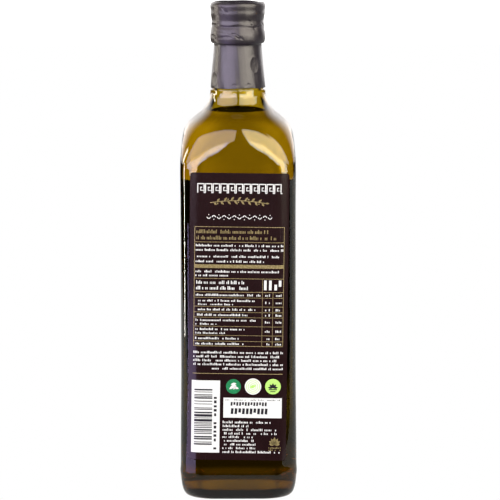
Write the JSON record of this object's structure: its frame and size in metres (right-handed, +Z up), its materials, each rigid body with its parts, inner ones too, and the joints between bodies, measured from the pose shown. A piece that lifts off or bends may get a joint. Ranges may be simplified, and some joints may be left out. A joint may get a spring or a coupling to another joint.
{
  "type": "olive oil bottle",
  "caption": "Full square glass bottle of olive oil with rounded corners, a sloping shoulder, a short neck under a shrunk capsule, and a dark label on two faces.",
  "frame": {"origin": "on the surface the bottle stands on, under the middle of its base", "axes": "+Z up the bottle; -Y is the face with the back label, which the picture shows; +X is to that view's right"},
  "size_m": [0.0686, 0.0694, 0.2899],
  "materials": {
    "bottle_glass": "polished dark olive glass",
    "olive_oil": "clear golden green oil",
    "capsule_film": "satin aubergine grey film, shrunk tight with small creases",
    "label_paper": "coated dark plum paper with white and gold print"
  },
  "bodies": {
    "root": {"bottle": "bottle_glass", "oil": "olive_oil", "capsule": "capsule_film", "back_label": "label_paper", "front_label": "label_paper"}
  },
  "joints": []
}
